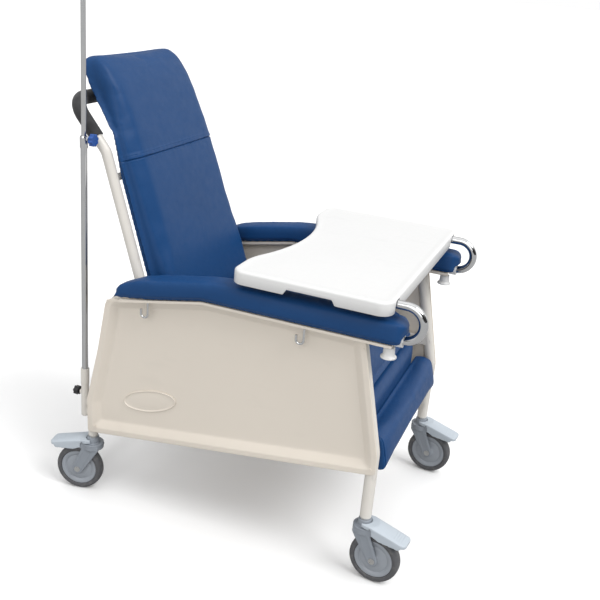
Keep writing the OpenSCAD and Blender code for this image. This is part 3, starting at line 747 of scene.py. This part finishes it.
def make_arm_pad(side):
    node = "arm_pad_" + side
    lo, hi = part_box(node)
    piece = cushion(node, "frame", 0.0045, 10, 0.005, (0, 0, -1), None, shrink=0.002)
    points, normals = get_points(piece.data), get_normals(piece.data)
    middle = (lo.x + hi.x) / 2
    half = (hi.x - lo.x) / 2
    outward = np.abs(points[:, 0] - middle) / half
    base = np.where(points[:, 1] < ARM_BEND_Y, ARM_UNDERSIDE,
                    ARM_UNDERSIDE - ARM_FALL * (points[:, 1] - ARM_BEND_Y) / ARM_FALL_RUN)
    wall = smooth_step(outward, 0.8, 0.95) * (np.abs(normals[:, 2]) < 0.8)
    carve(piece, points[:, 2] - base - 0.007, 0.0013, 0.0020, wall)
    return piece


# ---------- Side panels ----------

# The outer face of the rim and the floor of the recess, to each side of the middle
PANEL_X = 293
RECESS_X = 279.0
PANEL_OUTLINE = [(-13, 287), (-13, 333), (47, 611.5), (440, 611.5), (662, 567.5), (703, 571),
                 (727, 425), (759, 275), (757, 180)]
PANEL_RADII = [12, 50, 6, 60, 30, 27, 40, 40, 8]
# Where the slope into the recess starts
RECESS_OUTLINE = [(1, 299.2), (1, 331.4), (60.7, 608.5), (440, 608.5), (690, 559), (712.2, 422.4),
                  (744.2, 272), (742, 196.2)]
RECESS_RADII = [9, 50, 9, 60, 20, 40, 40, 9]
PANEL_CENTRE = np.array((390.0, 420.0))
PANEL_RAYS = 760
BADGE_CENTRE = (584, 310)
BADGE_HALF = (76, 29)
BADGE_TURN = math.radians(-15)


def panel_ring(outline, radii, inset, x):
    """A ring of the panel's skin: the outline moved in by inset, at that distance x to the side."""
    corners = [max(radius - inset, 4) for radius in radii]
    rounded = round_outline(inset_outline(outline, inset), corners)
    points = cast_outline(rounded, PANEL_CENTRE, PANEL_RAYS)
    return [at(x, s, z) for s, z in points]


def make_side_panel(side):
    """A thin shell from its back, round the rim and down the slope to the recess's floor.

    Each row is (how far in from the outline, how far to the side), in millimetres.
    """
    behind = [(20.0, 276.0), (17.0, 277.4), (10.0, 285.6), (6.0, 288.2), (3.0, 289.3), (1.0, 289.3)]
    rim = [(2.5, 289.3), (0.6, 289.7), (0.0, 290.6), (0.0, 291.6), (0.5, 292.6), (1.6, PANEL_X),
           (3.0, PANEL_X)]
    slope = [(-2.0, PANEL_X), (-0.6, 292.9), (0.8, 292.4), (2.4, 291.5), (6.0, 289.2),
             (10.0, 286.6), (14.0, 283.6), (17.0, 281.2), (18.6, 280.1), (20.5, 279.4),
             (23.5, 279.05), (28.0, RECESS_X)]
    rings = [panel_ring(RECESS_OUTLINE, RECESS_RADII, *row) for row in behind]
    rings += [panel_ring(PANEL_OUTLINE, PANEL_RADII, *row) for row in rim]
    rings += [panel_ring(RECESS_OUTLINE, RECESS_RADII, *row) for row in slope]
    piece = loft("side_panel_moulding_" + side, rings)
    if side == "right":
        mirror_piece(piece)
    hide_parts("side_panel_" + side)
    link_piece(piece, "cream_plastic", "frame")


def mirror_piece(piece):
    piece.data.transform(Matrix.Scale(-1, 4, (1, 0, 0)))
    piece.data.flip_normals()


def make_badge(side):
    """A plain raised oval with a rim, on the floor of the panel's recess."""
    wide, high = BADGE_HALF
    turn = Matrix.Rotation(BADGE_TURN, 2)
    profile = [(1.00, -0.5), (1.00, 1.6), (0.985, 2.9), (0.955, 3.4), (0.925, 3.3), (0.895, 2.4),
               (0.875, 1.4), (0.84, 1.1), (0.75, 1.5), (0.5, 2.2), (0.25, 2.5)]
    rings = []
    for scale, rise in profile:
        ring = []
        for i in range(96):
            a = 2 * math.pi * i / 96
            reach = wide - (1 - scale) * high if scale > 0.8 else wide * scale
            point = Vector((reach * math.cos(a), high * scale * math.sin(a)))
            s, z = turn @ point + Vector(BADGE_CENTRE)
            ring.append(at(RECESS_X + rise, s, z))
        rings.append(ring)
    piece = loft("panel_badge_" + side, rings)
    if side == "right":
        mirror_piece(piece)
    link_piece(piece, "cream_plastic", "frame")


# ---------- Tray ----------

# Notches in the skirt's lower edge: middle, half width and top
TRAY_NOTCHES = {"hand": (176, 56, 700.5), "loop": (HALF_TRACK, 13.5, 715.2)}
# The hollow towards the sitter: half its width, its depth, and how softly it meets the edge
BELLY_HALF, BELLY_DEEP, BELLY_LIP = 215, 52, 16


def tray_outline(step=3.5):
    """Plan outline of the tray in millimetres, with evenly spaced points."""
    lo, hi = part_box("tray_top")
    half_w = hi.x / MM
    front = (lo.y - FRONT_Y) / MM
    rear = (hi.y - FRONT_Y) / MM
    radius = (BELLY_HALF ** 2 + BELLY_DEEP ** 2) / (2 * BELLY_DEEP)
    centre = Vector((0, rear - BELLY_DEEP + radius))
    corners = [(-half_w, front), (half_w, front), (half_w - 4, rear), (-half_w + 4, rear)]
    dense = resample(round_outline(corners, [30] * 4, 14), step)
    for p in dense:
        reach = (p - centre).length
        if p.y > (front + rear) / 2 and reach < radius + BELLY_LIP:
            p += (p - centre).normalized() * smooth_maximum(radius - reach, 0, BELLY_LIP)
    return resample(dense, step)


def smooth_maximum(a, b, width):
    """The larger of a and b, rounded where they are within width of each other."""
    h = max(width - abs(a - b), 0) / width
    return max(a, b) + h * h * width / 4


def resample(points, step):
    """Evenly spaced points on a closed polyline."""
    closed = np.array([tuple(p) for p in points + points[:1]])
    lengths = np.concatenate(([0], np.cumsum(np.linalg.norm(np.diff(closed, axis=0), axis=1))))
    count = int(lengths[-1] / step)
    marks = np.arange(count) * lengths[-1] / count
    xs, ys = (np.interp(marks, lengths, closed[:, k]) for k in range(2))
    return [Vector(pair) for pair in zip(xs, ys)]


def offset_closed(points, inset):
    """Moves each point of a dense closed outline inwards along its normal."""
    moved = []
    turn = 1 if signed_area([tuple(p) for p in points]) > 0 else -1
    n = len(points)
    for i, p in enumerate(points):
        d = (points[(i + 1) % n] - points[i - 1]).normalized()
        moved.append(p + Vector((-d.y, d.x)) * turn * inset)
    return moved


def tray_skirt_z(p, low):
    """Height of the skirt's lower edge, which rises over the hand slots and the loops."""
    mid, half, top = TRAY_NOTCHES["hand"]
    hand = 0.0
    if abs(p.x) > 250:
        hand = (top - low) * float(smooth_step(half + 5 - abs(p.y - mid), 0, 9))
    mid, half, top = TRAY_NOTCHES["loop"]
    loop = 0.0
    if p.y < 40:
        loop = (top - low) * float(smooth_step(half + 3 - abs(abs(p.x) - mid), 0, 3.5))
    return low + max(hand, loop)


def make_tray():
    """The tray as one moulded shell, ring by ring from its underside round the rim to its top."""
    lo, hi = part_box("tray_top")
    low, top = lo.z / MM, hi.z / MM
    outline = tray_outline()
    wall, edge = 4.0, 6.5
    rings = []

    def ring(inset, height):
        heights = [height(q) if callable(height) else height for q in outline]
        points = offset_closed(outline, inset)
        rings.append([at(p.x, p.y, z) for p, z in zip(points, heights)])

    ring(30, top - wall)
    ring(wall + 3, top - wall)
    ring(wall, lambda p: max(top - wall - 2, tray_skirt_z(p, low) + 0.6))
    ring(wall, lambda p: tray_skirt_z(p, low) + 0.7)
    ring(wall - 0.9, lambda p: tray_skirt_z(p, low))
    ring(0.9, lambda p: tray_skirt_z(p, low))
    ring(0, lambda p: tray_skirt_z(p, low) + 0.8)
    ring(0, lambda p: max(top - edge - 6, tray_skirt_z(p, low) + 1.0))
    for i in range(7):
        a = i * math.pi / 12
        rim_z = top - edge * (1 - math.sin(a))
        ring(edge * (1 - math.cos(a)),
             lambda p, rim_z=rim_z: max(rim_z, tray_skirt_z(p, low) + 1.2))
    ring(edge + 3, top)
    ring(edge + 7, top - 0.25)
    ring(edge + 12, top - 0.9)
    ring(edge + 16, top - 1.0)
    ring(30, top - 1.0)
    piece = loft("tray_moulding", rings)
    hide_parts("tray_top")
    link_piece(piece, "white_plastic", "tray")


# ---------- Castors ----------

CASTOR_NAMES = ("front_left", "front_right", "rear_left", "rear_right")
# Which way each pair's wheels trail, turned from straight back
HEADINGS = {"front": math.radians(175), "rear": math.radians(10)}
WHEEL_R = 62.5
TRAIL = 36


def castor_place(name):
    """Matrix of a castor's own frame: z up the stem, y the way the wheel trails, in metres."""
    where, side = name.split("_")
    x = HALF_TRACK * (1 if side == "left" else -1)
    s = 0 if where == "front" else 752
    return Matrix.Translation(at(x, s, 0)) @ Matrix.Rotation(HEADINGS[where], 4, "Z")


def lathe(name, profile, steps=96):
    """Turns a closed profile of (radius, along) in millimetres about the X axis."""
    rings = []
    for i in range(steps):
        a = 2 * math.pi * i / steps
        rings.append([Vector((x, r * math.cos(a), r * math.sin(a))) * MM for r, x in profile])
    return loft(name, rings, wrap=True)


def both_ways(half):
    """A half section and its mirror image, as one closed profile."""
    return half + [(r, -x) for r, x in reversed(half)]


# Sections of the wheel and its tyre: (radius, distance along the axle)
WHEEL_PROFILE = both_ways([(5.1, -15), (12.6, -15), (13.6, -14.4), (14.4, -12.6), (16.2, -11.4),
                           (24, -10.8), (33, -9.8), (34.6, -8.6), (36.2, -8.6), (37.6, -10.2),
                           (39.4, -11.6), (44.6, -12), (46.4, -12.3), (47.6, -11.8),
                           (48.4, -10.6)])
TYRE_PROFILE = both_ways([(48.5, -12.0), (49.6, -13.6), (51.4, -14.3), (52.8, -13.9),
                          (54.0, -14.6), (56.8, -14.4), (59.4, -12.8), (61.2, -10.0),
                          (62.2, -6.0), (62.5, -2.0)])


def make_wheel(name):
    place = castor_place(name) @ Matrix.Translation(Vector((0, TRAIL, WHEEL_R)) * MM)
    # The wheel takes a darker copy of the castor plastic: painted shade.
    for part, profile, slot, finish in (("wheel", WHEEL_PROFILE, "castor_plastic", "castor_wheel"),
                                        ("tyre", TYRE_PROFILE, "tyre_grey", "tyre_grey")):
        piece = lathe(f"{name}_{part}_turned", profile)
        piece.data.transform(place)
        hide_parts(f"{name}_{part}")
        link_piece(piece, slot, name + "_roll", finish)


def castor_points(piece, name):
    """A castor piece's points in the castor's own frame."""
    place = np.array(castor_place(name).inverted())
    return get_points(piece.data) @ place[:3, :3].T + place[:3, 3]


# In the castor's frame, in metres: the fork's cheeks lie outside this x, and end at this height
FORK_CHEEK = 0.0205
FORK_SHOULDER = 0.126
AXLE_Z = WHEEL_R * MM
AXLE_Y = TRAIL * MM


def make_fork(name):
    """The fork, with a raised U line down its cheeks and two grooves round its head."""
    # The fork takes a darker copy of the castor plastic: painted shade.
    piece = moulded(name + "_fork_moulding", name + "_fork", "castor_plastic", name + "_swivel",
                    0.0015, 4, "castor_fork")
    x, y, z = castor_points(piece, name).T
    u_half = 0.0105
    t = np.clip((z - AXLE_Z) / (FORK_SHOULDER - AXLE_Z), 0, 1)
    spine = AXLE_Y * (1 - t) + 0.006 * t
    below = np.maximum(AXLE_Z - z, 0)
    gap = np.where(below > 0, np.hypot(y - AXLE_Y, below), np.abs(y - spine)) - u_half
    line = ridge(gap, 0, 0.0011) * (np.abs(x) > FORK_CHEEK) * (z < FORK_SHOULDER + 0.002)
    grooves = sum(ridge(z, height, 0.0012) for height in (0.1335, 0.1385))
    head = (np.hypot(x, y) > 0.0245) * (y < 0.004)
    raise_points(piece, line * 0.0010 - grooves * head * 0.0009)


def make_pedal(name):
    """The brake pedal, with four raised treads near its tip."""
    piece = moulded(name + "_pedal_moulding", name + "_pedal", "castor_plastic", name + "_brake",
                    0.0013, 5)
    x, y, _ = castor_points(piece, name).T
    top = (get_normals(piece.data)[:, 2] > 0.7) * smooth_step(y, 0.030, 0.034)
    treads = sum(ridge(y, place, 0.0011) for place in (0.082, 0.088, 0.094, 0.100))
    inner = smooth_step(0.018 - np.abs(x), 0, 0.002)
    raise_points(piece, treads * inner * top * 0.0008)


# ---------- Small fittings ----------

def screw_heads(name, places, out, radius, slot, body):
    """Domed screw heads with a cross recess, joined in one piece."""
    out = Vector(out).normalized()
    turn = Vector((0, 0, 1)).rotation_difference(out).to_matrix().to_4x4()
    bm = bmesh.new()
    dome = ((1.0, -0.4), (1.0, 0.1), (0.93, 0.32), (0.75, 0.5), (0.5, 0.6), (0.32, 0.62))
    for place in places:
        rings = []
        for scale, rise in dome:
            ring = []
            for i in range(32):
                a = 2 * math.pi * i / 32
                cross = abs(math.cos(2 * a)) ** 6
                sink = 0.0 if scale > 0.55 else 0.28 * cross
                p = Vector((math.cos(a) * scale, math.sin(a) * scale, rise - sink)) * radius
                ring.append(bm.verts.new(turn @ p + place))
            rings.append(ring)
        for a, b in zip(rings, rings[1:]):
            for i in range(32):
                bm.faces.new((a[i], a[(i + 1) % 32], b[(i + 1) % 32], b[i]))
        bm.faces.new(rings[0])
        bm.faces.new(rings[-1])
    bmesh.ops.recalc_face_normals(bm, faces=bm.faces)
    mesh = bpy.data.meshes.new(name)
    bm.to_mesh(mesh)
    bm.free()
    piece = bpy.data.objects.new(name, mesh)
    bpy.context.scene.collection.objects.link(piece)
    return link_piece(piece, slot, body)


def make_screws():
    """Screws that hold the cushions' boards, from behind and from below."""
    tilt_out = Vector((0, math.cos(BACK_TILT), -math.sin(BACK_TILT)))
    up = Vector((0, math.sin(BACK_TILT), math.cos(BACK_TILT)))
    pivot = at(0, *BACK_PIVOT)
    board_rear = -0.0132
    rows = [pivot + up * u + tilt_out * board_rear + Vector((x, 0, 0))
            for u in (0.10, 0.30, 0.53) for x in (-0.180, -0.06, 0.06, 0.180)]
    screw_heads("back_board_screws", rows, tilt_out, 0.006, "steel", "back")
    lo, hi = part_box("seat_board")
    under = [Vector((x, y, lo.z)) for x in (lo.x + 0.03, hi.x - 0.03)
             for y in (lo.y + 0.06, (lo.y + hi.y) / 2 + 0.03, hi.y - 0.05)]
    screw_heads("seat_board_screws", under, (0, 0, -1), 0.006, "steel", "frame")


# Small CAD nodes that are shown as moulded pieces: node, slot, body, voxel size, smoothing rounds
MOULDED = [
    ("tray_knob_left", "white_plastic", "knob_left", 0.0008, 3),
    ("tray_knob_right", "white_plastic", "knob_right", 0.0008, 3),
    ("iv_collar_knob", "knob_blue", "iv_collar_screw", 0.0007, 3),
    ("iv_socket_knob", "knob_black", "iv_socket_screw", 0.0007, 3),
    ("iv_socket", "cream_frame", "frame", 0.0012, 2),
]


# ---------- Assembly ----------

add_camera()
add_studio()
add_floor()
materials = make_materials()

slot_of = {row["node"]: row["material_slot"] for row in frame["record"]["subparts"]}
for node, obj in nodes.items():
    obj.data.materials.clear()
    obj.data.materials.append(materials[slot_of[node]])

make_back_cushion()
make_back_board()
make_seat_cushion()
make_legrest_cushions()
for side in ("left", "right"):
    make_arm_pad(side)
    make_side_panel(side)
    make_badge(side)
make_tray()
for castor in CASTOR_NAMES:
    make_wheel(castor)
    make_fork(castor)
    make_pedal(castor)
for node, slot, body, voxel, rounds in MOULDED:
    moulded(node + "_moulding", node, slot, body, voxel, rounds)
make_screws()
